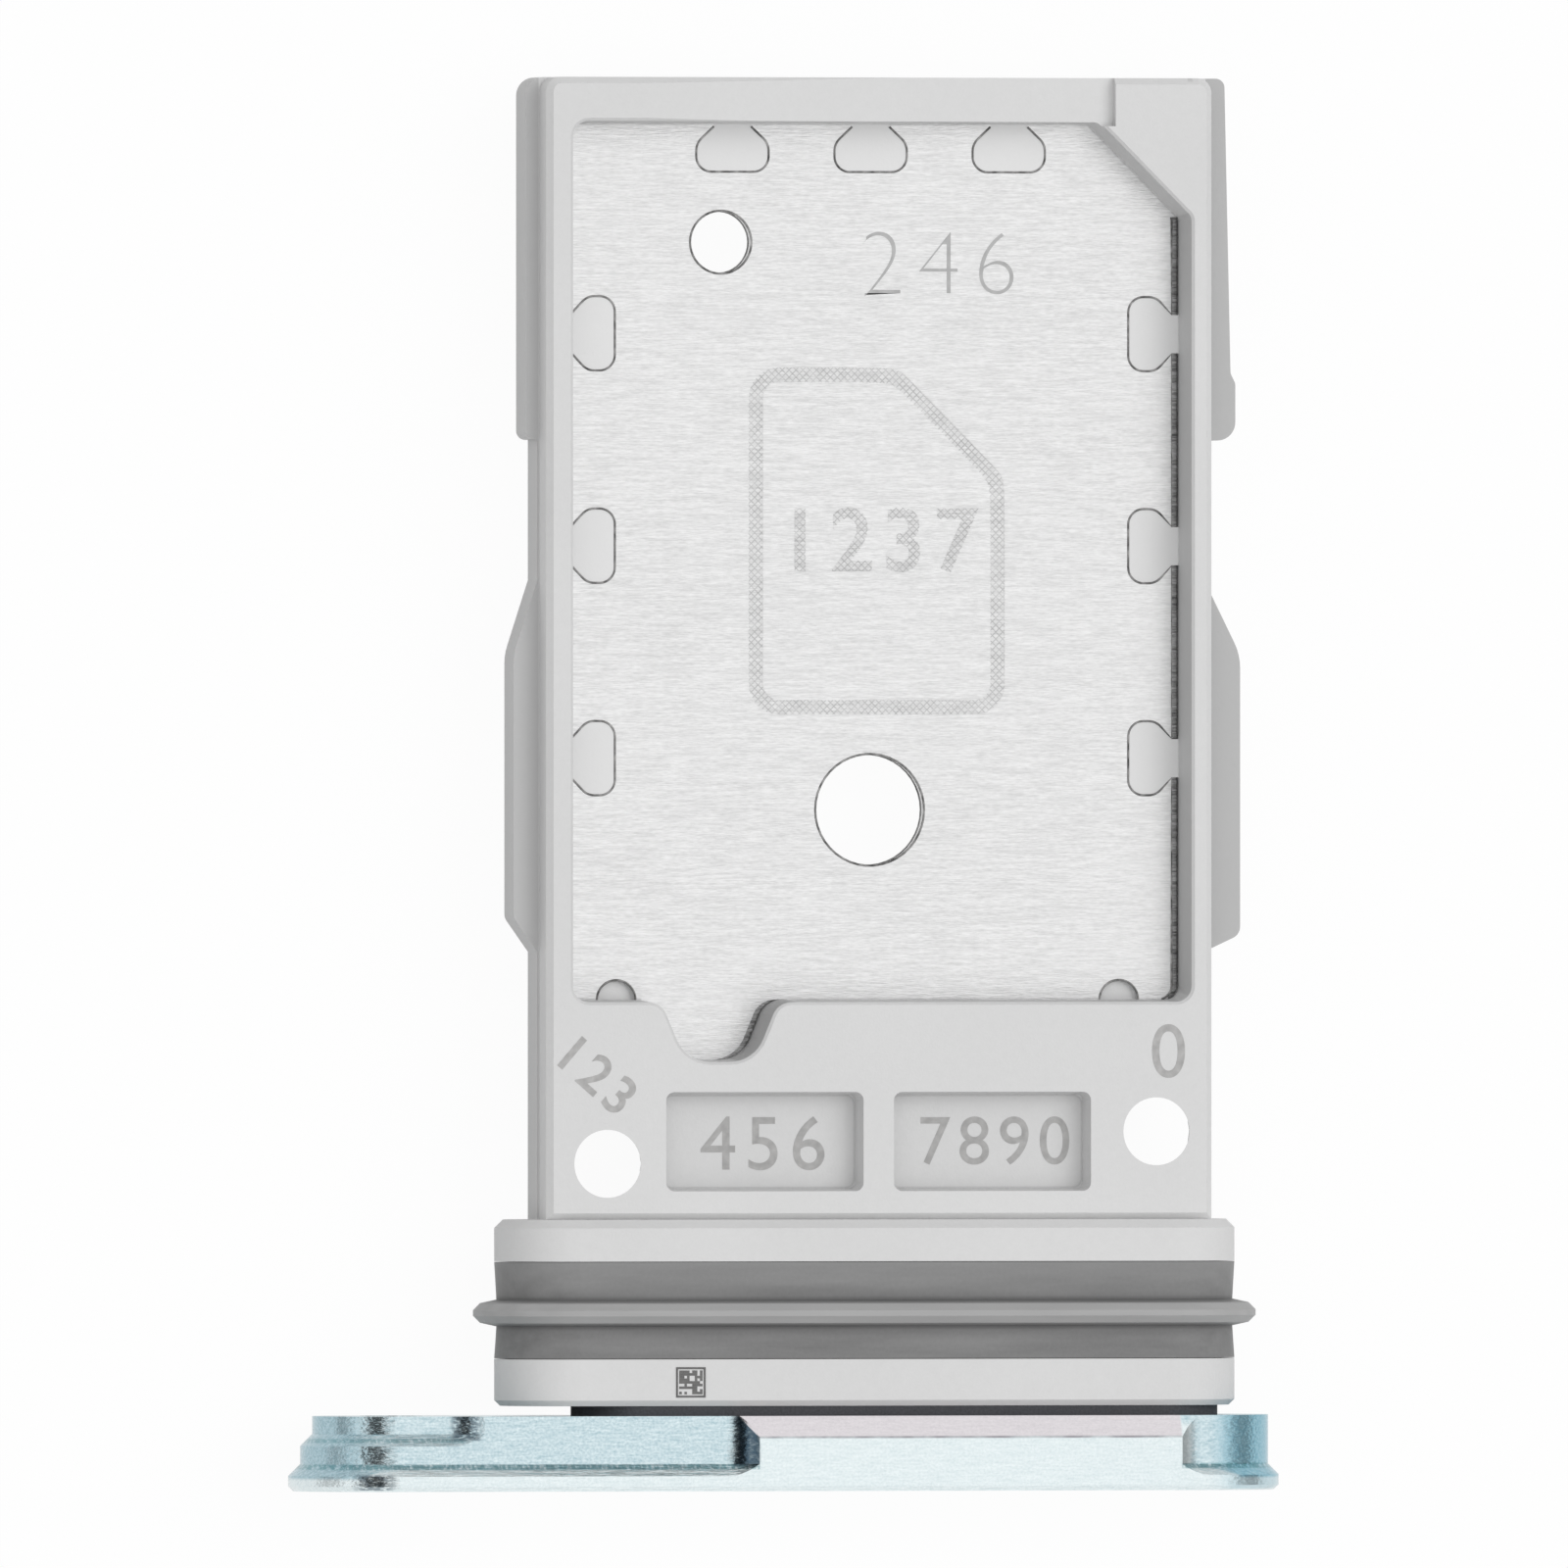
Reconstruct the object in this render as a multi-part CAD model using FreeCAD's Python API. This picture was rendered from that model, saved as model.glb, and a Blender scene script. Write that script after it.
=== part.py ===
"""Two-sided card tray: metal door, black pad, moulded carrier, steel plate and seal ring.

The tray lies flat. X runs along the door, +Y points from the door to the tip of the
tray and +Z is the face that the photograph shows. The origin is at the middle of the
tray's outline, on the surface that it lies on. All sizes are in millimetres.
"""
import FreeCAD, Part
import math
import os

# The card and the play that it has in its pocket
card_length = 12.30
card_width = 8.80
card_thick = 0.67
card_cut = 1.32
play_length = 0.08
play_width = 0.11
play_thick = 0.05

# The steel plate between the two pockets
plate_thick = 0.20
plate_grip = 0.12
small_hole_radius = 0.445
small_hole_from_left = 2.264
small_hole_from_top = 1.675
large_hole_radius = 0.79
large_hole_from_left = 4.424
large_hole_from_top = 9.695
slot_width = 0.10
slot_depth = 0.12

# Keyhole notches in the edge of the plate, filled by the moulding
key_neck = 0.54
key_head = 1.05
key_neck_length = 0.09
key_shoulder = 0.24
key_shoulder_round = 0.24
key_length = 0.73
key_corner = 0.22
top_key_sink = 0.05
keys_at_top = 3
top_key_pitch = 2.005
top_key_middle = 4.439
keys_at_side = 3
side_key_pitch = 3.00
side_key_first = 2.965
dimple_radius = 0.28
dimple_depth = 0.09
left_dimple_from_left = 0.748
right_dimple_from_right = 0.868

# Walls of the pocket
wall_lean = 0.03
edge_break = 0.04
rim_break = 0.09
pocket_corner = 0.20
cut_corner_round = 0.12
rim_left = 0.41
rim_right = 0.33
back_rim_inset = 0.11
rim_corner = 0.21

# The notch where a fingertip lifts the card
notch_from_left = 1.27
notch_width = 1.65
notch_lean = 0.35
notch_depth = 0.845
notch_foot_round = 0.50
notch_mouth_round = 0.32

# The bar at the tip, with its ramp
tip_bar = 0.65
ramp_from_left = 1.03
ramp_from_right = 1.08
ramp_drop = 0.16

# Guide rails along both sides
rail_thick = 0.60
rail_proud_left = 0.20
rail_proud_right = 0.29
rail_spread = 0.09
rail_length = 5.12
rail_corner = 0.26
knob_proud = 0.07
knob_length = 0.95
ledge_proud = 0.03
wing_proud_left = 0.37
wing_proud_right = 0.52
wing_from_tip = 7.10
wing_length = 5.25
wing_lead = 1.05
wing_tail = 0.48
wing_round = 0.80
tail_round = 0.18

# The shoulder between the pocket and the collar
shoulder_length = 3.10
back_bar = 0.60
window_length = 2.86
window_width = 1.40
window_depth = 0.38
window_corner = 0.12
window_gap = 0.44
window_from_left = 1.31
window_from_collar = 0.40
peg_hole_radius = 0.48
peg_hole_flare = 0.26
left_peg_from_left = 0.46
left_peg_from_collar = 0.79
right_peg_from_right = 0.49
right_peg_from_collar = 1.24

# The collar and the seal ring in its groove
collar_length = 2.63
collar_thick = 2.00
collar_side_left = 0.97
collar_side_right = 0.81
collar_break_front = 0.12
collar_break_back = 0.08
pocket_offset = 1.25
groove_depth = 0.28
groove_from_front = 0.59
seal_width = 1.38
seal_fit = 0.01
seal_dish = 0.03
lip_proud = 0.30
lip_offset = 0.04
lip_foot = 0.38
lip_tip = 0.28
lip_break = 0.10

# The pad between the collar and the door
pad_thick = 0.14
pad_radius = 0.90
pad_length = 9.34
pad_offset = 0.43

# The door and its machined steps
door_length = 14.30
door_height = 2.60
door_thick = 1.06
door_edge_break = 0.07
flange_thick = 0.215
first_step_depth = 0.17
first_step_end = 6.50
second_step_height = 0.64
second_step_depth = 0.17
second_step_end = 2.56
right_step_depth = 0.15
right_step_end = 1.67
cutter_radius = 0.65
bevel_width = 0.30
bevel_depth = 0.145
eject_hole_radius = 0.45
eject_hole_from_end = 1.46
eject_hole_lead = 0.10

# Two tenons of the door that the collar is moulded round
tenon_width = 1.60
tenon_flare = 0.12
tenon_height = 0.70
tenon_length = 1.50
tenon_spacing = 4.80

# Sizes and places that follow
pocket_length = card_length + play_length
pocket_width = card_width + play_width
pocket_depth = card_thick + play_thick
total_length = door_thick + pad_thick + collar_length + shoulder_length + pocket_length + tip_bar

y_face = -total_length / 2
y_door = y_face + door_thick
y_pad = y_door + pad_thick
y_collar = y_pad + collar_length
y_bottom = y_collar + shoulder_length
y_top = y_bottom + pocket_length
y_tip = y_top + tip_bar

z_mid = max(door_height, collar_thick + 2 * lip_proud) / 2
z_plate = z_mid + plate_thick / 2
z_rim = z_plate + pocket_depth
z_rail = z_mid + rail_thick / 2

x_left = pocket_offset - pocket_width / 2
x_right = pocket_offset + pocket_width / 2
x_rim_left = x_left - rim_left
x_rim_right = x_right + rim_right
x_ledge = x_rim_left - ledge_proud
x_collar_left = x_left - collar_side_left
x_collar_right = x_right + collar_side_right
x_collar_middle = (x_collar_left + x_collar_right) / 2

beyond = 1.0
up = FreeCAD.Vector(0, 0, 1)
along = FreeCAD.Vector(0, 1, 0)


def point(x, y, z=0.0):
    return FreeCAD.Vector(x, y, z)


def moved_out(corners, grow):
    """The corners of an outline, listed anticlockwise, with each side moved out by grow."""
    result = []
    count = len(corners)
    for i, (x, y, radius) in enumerate(corners):
        before = corners[i - 1]
        after = corners[(i + 1) % count]
        into = point(x - before[0], y - before[1]).normalize()
        out = point(after[0] - x, after[1] - y).normalize()
        normal_in = point(into.y, -into.x)
        normal_out = point(out.y, -out.x)
        shift = (normal_in + normal_out) * (grow / (1 + normal_in.dot(normal_out)))
        convex = into.cross(out).z > 0
        new_radius = radius + grow if convex else radius - grow
        result.append((x + shift.x, y + shift.y, max(new_radius, 0.0) if radius else 0.0))
    return result


def outline(corners, z):
    """A closed wire at height z through corners (x, y, radius), each rounded by its radius."""
    ends = []
    count = len(corners)
    for i, (x, y, radius) in enumerate(corners):
        here = point(x, y, z)
        if radius <= 0:
            ends.append((here, None, here))
            continue
        back = (point(*corners[i - 1][:2], z) - here).normalize()
        ahead = (point(*corners[(i + 1) % count][:2], z) - here).normalize()
        half = back.getAngle(ahead) / 2
        reach = radius / math.tan(half)
        middle = (back + ahead).normalize() * (radius / math.sin(half) - radius)
        ends.append((here + back * reach, here + middle, here + ahead * reach))
    edges = []
    for i, (start, middle, end) in enumerate(ends):
        if middle is not None:
            edges.append(Part.Arc(start, middle, end).toShape())
        following = ends[(i + 1) % count][0]
        if end.distanceToPoint(following) > 1e-6:
            edges.append(Part.LineSegment(end, following).toShape())
    return Part.Wire(edges)


def prism(corners, z_low, z_high):
    """An outline raised straight from z_low to z_high."""
    return Part.Face(outline(corners, z_low)).extrude(up * (z_high - z_low))


def tapered(corners, levels):
    """A solid through the outline at each level (z, how far its sides are moved out)."""
    parts = []
    for (z_low, grow_low), (z_high, grow_high) in zip(levels, levels[1:]):
        low = outline(moved_out(corners, grow_low), z_low)
        high = outline(moved_out(corners, grow_high), z_high)
        parts.append(Part.makeLoft([low, high], True, True))
    return parts[0].fuse(parts[1:]) if len(parts) > 1 else parts[0]


def upside_down(shape):
    """The mirror image of a shape in the middle plane of the tray."""
    return shape.mirror(point(0, 0, z_mid), up)


def rounded_ends(profile, x_low, x_high):
    """A solid with straight long sides and full round ends.

    The profile is a face in the plane x = 0, on the +Z side of the middle plane.
    It is turned half way round each end's axis, and run straight between the two.
    """
    axis = point(0, 0, z_mid)
    run = x_high - x_low
    upper = profile.extrude(point(run, 0, 0))
    left = profile.revolve(axis, along, -180)
    right = profile.revolve(axis, along, 180)
    right.translate(point(run, 0, 0))
    solid = upper.fuse([upside_down(upper), left, right]).removeSplitter()
    solid.translate(point(x_low, 0, 0))
    return solid.Solids[0]


def profile_face(corners):
    """A face in the plane x = 0 from corners (height over the middle plane, y, radius)."""
    flat = Part.Face(outline(corners, 0))
    flat.Placement = FreeCAD.Placement(point(0, 0, z_mid), FreeCAD.Rotation(along, -90))
    return flat


def pocket_corners():
    """The pocket of the card with its cut corner and the fingertip notch, at the plate."""
    notch_left = x_left + notch_from_left
    notch_right = notch_left + notch_width
    foot = y_bottom - notch_depth
    return [
        (x_left, y_bottom, pocket_corner),
        (notch_left, y_bottom, notch_mouth_round),
        (notch_left + notch_lean, foot, notch_foot_round),
        (notch_right - notch_lean, foot, notch_foot_round),
        (notch_right, y_bottom, notch_mouth_round),
        (x_right, y_bottom, pocket_corner),
        (x_right, y_top - card_cut, cut_corner_round),
        (x_right - card_cut, y_top, cut_corner_round),
        (x_left, y_top, pocket_corner),
    ]


def pocket():
    """The space over the plate, with leaning walls and a broken upper edge."""
    z_edge = z_rim - edge_break
    levels = [(z_plate, 0), (z_edge, wall_lean), (z_rim, wall_lean + edge_break)]
    body = tapered(pocket_corners(), levels)
    mouth = prism(moved_out(pocket_corners(), wall_lean + edge_break), z_rim, z_rim + beyond)
    return body.fuse(mouth)


def keyhole(x, y, turn):
    """The corners of a keyhole notch whose mouth is at (x, y) and that points along turn."""
    neck = key_neck / 2
    head = key_head / 2
    start = -2 * plate_grip
    shoulder = key_neck_length + key_shoulder
    local = [
        (start, -neck, 0), (key_neck_length, -neck, 0), (shoulder, -head, key_shoulder_round),
        (key_length, -head, key_corner), (key_length, head, key_corner),
        (shoulder, head, key_shoulder_round), (key_neck_length, neck, 0), (start, neck, 0),
    ]
    cosine, sine = math.cos(turn), math.sin(turn)
    return [(x + a * cosine - b * sine, y + a * sine + b * cosine, r) for a, b, r in local]


def keyholes():
    """The keyhole notches of the plate: along its top, its left side and its right side."""
    found = []
    for i in range(keys_at_top):
        offset = (i - (keys_at_top - 1) / 2) * top_key_pitch
        found.append(keyhole(x_left + top_key_middle + offset, y_top + top_key_sink, -math.pi / 2))
    for i in range(keys_at_side):
        y = y_top - side_key_first - i * side_key_pitch
        found.append(keyhole(x_left, y, 0))
        found.append(keyhole(x_right, y, math.pi))
    return found


def dimples(z_low, z_high):
    """The two half round notches at the bottom edge of the plate."""
    places = (x_left + left_dimple_from_left, x_right - right_dimple_from_right)
    height = z_high - z_low
    return [Part.makeCylinder(dimple_radius, height, point(x, y_bottom, z_low)) for x in places]


def plate_blank():
    """The plate with its notches but without its two round holes."""
    low, high = z_mid - plate_thick / 2, z_plate
    square_corners = [(x, y, 0) for x, y, radius in pocket_corners()]
    blank = prism(moved_out(square_corners, plate_grip), low, high)
    notches = [prism(corners, low - beyond, high + beyond) for corners in keyholes()]
    return blank.cut(notches + dimples(low - beyond, high + beyond))


def edge_slots():
    """The shallow slots in the plate at the foot of the right wall and of the notch's right side."""
    floor = prism(pocket_corners(), z_plate - slot_depth, z_plate + beyond)
    inner = floor.copy()
    inner.translate(point(-slot_width, 0, 0))
    side = card_cut + cut_corner_round + beyond
    x_cut = x_right - card_cut - cut_corner_round
    corner = point(x_cut, y_top - card_cut, z_plate - slot_depth - beyond)
    cut_corner = Part.makeBox(side, side, slot_depth + 3 * beyond, corner)
    return floor.cut([inner, cut_corner])


def steel_plate():
    """The punched plate that is the floor of both pockets."""
    holes = [
        (x_left + small_hole_from_left, y_top - small_hole_from_top, small_hole_radius),
        (x_left + large_hole_from_left, y_top - large_hole_from_top, large_hole_radius),
    ]
    low = z_mid - plate_thick / 2
    tools = [
        Part.makeCylinder(radius, plate_thick + 2 * beyond, point(x, y, low - beyond))
        for x, y, radius in holes
    ]
    return plate_blank().cut(tools + edge_slots().Solids)


def rim_corners(inset, y_low):
    """The outline of the raised rim, smaller by inset on its two sides."""
    left, right = x_rim_left + inset, x_rim_right - inset
    return [(left, y_low, 0), (right, y_low, 0), (right, y_tip, rim_corner), (left, y_tip, rim_corner)]


def rim(inset, y_low):
    """One raised rim over the middle plane, with its outer edge broken."""
    levels = [(z_mid, 0), (z_rim - rim_break, 0), (z_rim, -rim_break)]
    return tapered(rim_corners(inset, y_low), levels)


def rail_corners():
    """The outline of the layer at mid height: upper rails, waist and wings."""
    y_rail = y_tip - rail_length
    y_wing = y_tip - wing_from_tip
    y_wing_end = y_wing - wing_length
    x_rail_left = x_rim_left - rail_proud_left
    x_rail_right = x_rim_right + rail_proud_right
    x_spread = x_rail_right + rail_spread
    x_knob = x_spread + knob_proud
    x_wing_left = x_rim_left - wing_proud_left
    x_wing_right = x_rim_right + wing_proud_right
    small = rail_corner / 2
    return [
        (x_ledge, y_collar, 0),
        (x_rim_right, y_collar, 0),
        (x_rim_right, y_wing_end, 0),
        (x_wing_right, y_wing_end + wing_tail / 2, tail_round),
        (x_wing_right, y_wing - wing_lead, wing_round),
        (x_rim_right, y_wing, 0),
        (x_rim_right, y_rail, 0),
        (x_knob, y_rail, rail_corner),
        (x_knob, y_rail + knob_length - 2 * knob_proud, small),
        (x_spread, y_rail + knob_length, small),
        (x_rail_right, y_tip, small),
        (x_rail_left, y_tip, rail_corner),
        (x_rail_left, y_rail, small),
        (x_ledge, y_rail, 0),
        (x_ledge, y_wing, 0),
        (x_wing_left, y_wing - wing_lead, wing_round),
        (x_wing_left, y_wing_end + wing_tail, tail_round),
        (x_ledge, y_wing_end, 0),
    ]


def tip_ramp():
    """The wedge cut from the top of the tip bar, deepest at the cut corner."""
    left = x_left + ramp_from_left
    right = x_right - ramp_from_right
    corners = [
        point(left, y_top - wall_lean, z_rim),
        point(right, y_top - wall_lean, z_rim - ramp_drop),
        point(right, y_top - wall_lean, z_rim + beyond),
        point(left, y_top - wall_lean, z_rim + beyond),
    ]
    face = Part.Face(Part.makePolygon(corners + corners[:1]))
    return face.extrude(along * (tip_bar + wall_lean + beyond))


def windows():
    """The two shallow rectangular recesses of the shoulder."""
    tools = []
    y_low = y_collar + window_from_collar
    for i in range(2):
        left = x_left + window_from_left + i * (window_length + window_gap)
        right = left + window_length
        high = y_low + window_width
        corners = [
            (left, y_low, window_corner), (right, y_low, window_corner),
            (right, high, window_corner), (left, high, window_corner),
        ]
        levels = [(z_rim - window_depth, -edge_break), (z_rim, 0)]
        tools.append(tapered(corners, levels))
    return tools


def peg_holes():
    """Two through holes in the shoulder that open towards the back."""
    places = [
        (x_left + left_peg_from_left, y_collar + left_peg_from_collar),
        (x_right - right_peg_from_right, y_collar + right_peg_from_collar),
    ]
    z_back = z_mid - rail_thick / 2
    depth = z_rim - z_back
    return [
        Part.makeCone(peg_hole_radius + peg_hole_flare, peg_hole_radius, depth, point(x, y, z_back))
        for x, y in places
    ]


def collar():
    """The collar with full round ends and the groove for the seal."""
    radius = collar_thick / 2
    floor = radius - groove_depth
    y_groove = y_collar - groove_from_front
    corners = [
        (0, y_pad, 0), (radius - collar_break_back, y_pad, 0),
        (radius, y_pad + collar_break_back, 0),
        (radius, y_groove - seal_width, 0), (floor, y_groove - seal_width, 0),
        (floor, y_groove, 0), (radius, y_groove, 0),
        (radius, y_collar - collar_break_front, 0),
        (radius - collar_break_front, y_collar, 0), (0, y_collar, 0),
    ]
    return rounded_ends(profile_face(corners), *collar_axes())


def collar_axes():
    """Where the axes of the collar's round ends are along X."""
    return x_collar_left + collar_thick / 2, x_collar_right - collar_thick / 2


def seal():
    """The ring in the collar's groove, with one lip all round."""
    radius = collar_thick / 2
    inner = radius - groove_depth + seal_fit
    y_high = y_collar - groove_from_front - seal_fit
    y_low = y_high - seal_width + 2 * seal_fit
    middle = (y_high + y_low) / 2 - lip_offset
    foot = radius - seal_dish
    tip = radius + lip_proud
    corners = [
        (inner, y_low, 0), (radius, y_low, 0), (foot, middle - lip_foot / 2, 0),
        (tip - lip_break, middle - lip_tip / 2, 0), (tip, middle - lip_tip / 2 + lip_break, 0),
        (tip, middle + lip_tip / 2 - lip_break, 0), (tip - lip_break, middle + lip_tip / 2, 0),
        (foot, middle + lip_foot / 2, 0), (radius, y_high, 0), (inner, y_high, 0),
    ]
    return rounded_ends(profile_face(corners), *collar_axes())


def tenons(y_from):
    """The flared tenons of the door, from y_from to their ends inside the collar."""
    y_end = y_pad + tenon_length
    made = []
    for side in (-1, 1):
        middle = x_collar_middle + side * tenon_spacing / 2
        root, end = tenon_width / 2, tenon_width / 2 + tenon_flare
        corners = [
            (middle - root, y_from, 0), (middle + root, y_from, 0),
            (middle + root, y_pad, 0), (middle + end, y_end, 0),
            (middle - end, y_end, 0), (middle - root, y_pad, 0),
        ]
        made.append(prism(corners, z_mid - tenon_height / 2, z_mid + tenon_height / 2))
    return made


def carrier():
    """The one-piece moulding: rims, rails, shoulder and collar round the plate."""
    rails = prism(rail_corners(), z_mid - rail_thick / 2, z_rail)
    back_rim = upside_down(rim(back_rim_inset, y_bottom - back_bar))
    body = rim(0.0, y_collar).fuse([back_rim, rails, collar()]).removeSplitter()
    body = body.cut([pocket(), upside_down(pocket()), tip_ramp()])
    body = body.cut(windows() + peg_holes())
    body = body.cut(plate_blank())
    body = body.cut(dimples(z_plate - dimple_depth, z_plate))
    return body.cut(tenons(y_pad))


def door_pad():
    """The thin black pad between collar and door, slotted for the tenons."""
    corners = [(0, y_door, 0), (pad_radius, y_door, 0), (pad_radius, y_pad, 0), (0, y_pad, 0)]
    middle = x_collar_middle + pad_offset
    half = pad_length / 2 - pad_radius
    pad = rounded_ends(profile_face(corners), middle - half, middle + half)
    return pad.cut(tenons(y_door))


def rebate_ring(depth, y_foot):
    """All that lies outside the door's outline less depth, above a sloping foot."""
    radius = door_height / 2
    outer = radius + beyond
    corners = [
        (radius - depth, y_foot + depth, 0), (radius, y_foot, 0), (outer, y_foot, 0),
        (outer, y_door + beyond, 0), (radius - depth, y_door + beyond, 0),
    ]
    return rounded_ends(profile_face(corners), *door_axes())


def door_axes():
    """Where the axes of the door's round ends are along X."""
    half = (door_length - door_height) / 2
    return -half, half


def cutter(x, depth, y_foot, side):
    """The cutter where it stopped: a cylinder with a sloping foot, on one side of the door."""
    z = z_mid + side * (door_height / 2 - depth + cutter_radius)
    height = y_door + beyond - y_foot - depth
    stem = Part.makeCylinder(cutter_radius, height, point(x, y_foot + depth, z), along)
    foot = Part.makeCone(cutter_radius - depth, cutter_radius, depth, point(x, y_foot, z), along)
    return stem.fuse(foot)


def rebate(depth, y_foot, x_low, x_high, x_stop):
    """A step round one end of the door, from x_low to x_high, run out at x_stop."""
    room = door_height + 2 * beyond
    span = Part.makeBox(x_high - x_low, door_thick + 2 * beyond, room,
                        point(x_low, y_face, z_mid - room / 2))
    ring = rebate_ring(depth, y_foot).common(span)
    return ring.fuse([cutter(x_stop, depth, y_foot, side) for side in (-1, 1)])


def run_out(depth, cut_already=0.0):
    """How far a round cutter reaches past its axis, on a face cut_already below the outline."""
    rise = cutter_radius - depth + cut_already
    return math.sqrt(cutter_radius ** 2 - rise ** 2)


def door():
    """The machined door with its stepped ends, ejector hole and tenons."""
    radius = door_height / 2
    corners = [
        (0, y_face, 0), (radius - door_edge_break, y_face, 0),
        (radius, y_face + door_edge_break, 0), (radius, y_door, 0), (0, y_door, 0),
    ]
    body = rounded_ends(profile_face(corners), *door_axes())
    end = door_length / 2
    deep = first_step_depth + second_step_depth
    x_first = -end + first_step_end - run_out(first_step_depth)
    x_second = -end + second_step_end - run_out(deep, first_step_depth)
    x_third = end - right_step_end + run_out(right_step_depth)
    y_first = y_face + flange_thick
    y_second = y_face + second_step_height - first_step_depth
    body = body.cut(rebate(first_step_depth, y_first, -end - beyond, x_first, x_first))
    body = body.cut(rebate(deep, y_second, -end - beyond, x_second, x_second))
    body = body.cut(rebate(right_step_depth, y_first, x_third, end + beyond, x_third))
    body = body.cut(bevels(x_first, x_third) + [eject_hole()])
    return body.fuse(tenons(y_door)).removeSplitter()


def bevels(x_low, x_high):
    """The shallow bevel on the inner edges of the door, between its stepped ends."""
    radius = door_height / 2
    corners = [
        (radius - bevel_depth, y_door, 0), (radius, y_door - bevel_width, 0),
        (radius + beyond, y_door - bevel_width, 0), (radius + beyond, y_door + beyond, 0),
        (radius - bevel_depth, y_door + beyond, 0),
    ]
    tool = profile_face(corners).extrude(point(x_high - x_low, 0, 0))
    tool.translate(point(x_low, 0, 0))
    return [tool, upside_down(tool)]


def eject_hole():
    """The hole for the ejector pin, with a small lead-in at the outer face."""
    x = -door_length / 2 + eject_hole_from_end
    bore = Part.makeCylinder(eject_hole_radius, door_thick + beyond, point(x, y_face, z_mid), along)
    lead = Part.makeCone(eject_hole_radius + eject_hole_lead, eject_hole_radius, eject_hole_lead,
                         point(x, y_face, z_mid), along)
    return bore.fuse(lead)


def write(name, shape):
    """Save one piece and print what it is."""
    solid = shape.Solids[0] if len(shape.Solids) == 1 else shape
    print(name, "solids", len(shape.Solids), "volume", round(solid.Volume, 4), "valid", solid.isValid())
    solid.exportStep("parts/" + name + ".step")


os.makedirs("parts", exist_ok=True)
write("door", door())
write("door_pad", door_pad())
write("carrier", carrier())
write("steel_plate", steel_plate())
write("seal_ring", seal())
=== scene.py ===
# %% [markdown]
# # A phone's card tray in studio light
#
# The tray is a light grey moulding round a brushed steel plate. A silicone ring seals it
# in the phone, and a machined aluminium door closes the slot. The construction comes from
# the frame at its real size. This lesson gives each surface its finish, adds the fine
# lines and marks that are too small for the construction, and sets the light.

# %% Load the frame
import math

import bmesh
import bpy
from mathutils import Matrix, Vector


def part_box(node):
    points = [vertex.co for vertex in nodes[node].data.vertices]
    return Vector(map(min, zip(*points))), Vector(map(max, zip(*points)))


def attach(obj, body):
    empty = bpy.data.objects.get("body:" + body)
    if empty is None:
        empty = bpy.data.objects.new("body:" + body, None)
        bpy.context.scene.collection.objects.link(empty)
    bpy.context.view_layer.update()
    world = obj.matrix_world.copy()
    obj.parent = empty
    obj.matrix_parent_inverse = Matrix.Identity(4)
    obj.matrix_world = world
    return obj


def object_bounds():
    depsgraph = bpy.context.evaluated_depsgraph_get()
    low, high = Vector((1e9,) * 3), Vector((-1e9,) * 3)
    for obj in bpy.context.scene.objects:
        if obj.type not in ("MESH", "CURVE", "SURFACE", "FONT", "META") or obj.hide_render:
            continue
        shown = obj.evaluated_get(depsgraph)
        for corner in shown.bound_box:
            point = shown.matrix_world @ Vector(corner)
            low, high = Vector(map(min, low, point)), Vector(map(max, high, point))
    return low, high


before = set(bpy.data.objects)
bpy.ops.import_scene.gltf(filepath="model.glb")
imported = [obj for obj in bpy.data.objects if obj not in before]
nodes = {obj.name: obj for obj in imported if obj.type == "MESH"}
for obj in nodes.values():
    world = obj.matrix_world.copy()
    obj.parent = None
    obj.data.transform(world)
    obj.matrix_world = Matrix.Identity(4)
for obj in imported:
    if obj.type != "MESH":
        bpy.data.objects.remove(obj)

cad_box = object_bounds()
print("nodes of the frame:", sorted(nodes))

# %% [markdown]
# ## Places to work from
#
# Every mark sits at a known distance from a real edge, so the edges come first. They could
# be typed in, but then a change of size would leave the marks behind. The frame knows
# where each piece is, so the corners of the pieces are read from it.

# %% Edges of the pieces
MM = 0.001
plate_low, plate_high = (Vector(corner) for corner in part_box("steel_plate"))
door_low, door_high = (Vector(corner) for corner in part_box("door"))
seal_low, seal_high = (Vector(corner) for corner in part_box("seal_ring"))

PLATE_GRIP = 0.12 * MM
POCKET_LENGTH = 12.38 * MM
POCKET_DEPTH = 0.72 * MM
pocket_left = plate_low.x + PLATE_GRIP
pocket_right = plate_high.x - PLATE_GRIP
pocket_top = plate_high.y - PLATE_GRIP
pocket_bottom = pocket_top - POCKET_LENGTH
middle_z = (plate_low.z + plate_high.z) / 2
rim_z = plate_high.z + POCKET_DEPTH
print("pocket, mm:", round((pocket_right - pocket_left) / MM, 2), "by",
      round((pocket_top - pocket_bottom) / MM, 2))

# %% [markdown]
# Meshes need metres, as Blender does. The finishes are formulas with many small lengths,
# and those are easier to read in millimetres. So the same edges are kept in both.

# %% The same edges in millimetres
LEFT, RIGHT = pocket_left / MM, pocket_right / MM
BOTTOM, TOP = pocket_bottom / MM, pocket_top / MM
BACK, MIDDLE = plate_low.z / MM, middle_z / MM
FACE, RIM = plate_high.z / MM, rim_z / MM
print("heights of plate and rim, mm:", round(BACK, 3), round(FACE, 3), round(RIM, 3))

# %% [markdown]
# ## The camera
#
# The photograph looks down on the tray, a little from its left: the right walls of the
# pocket show and the left ones don't. The lens is long, because parallel edges stay
# parallel. The camera could be an orthographic one, but a real product shot has a trace of
# perspective, so this is a long lens far away.

# %% Look down from the left
PIXELS_PER_MM = 72.2
IMAGE_PIXELS = 1600
VIEW_TILT = math.radians(13.0)
LENS = 1500.0

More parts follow.
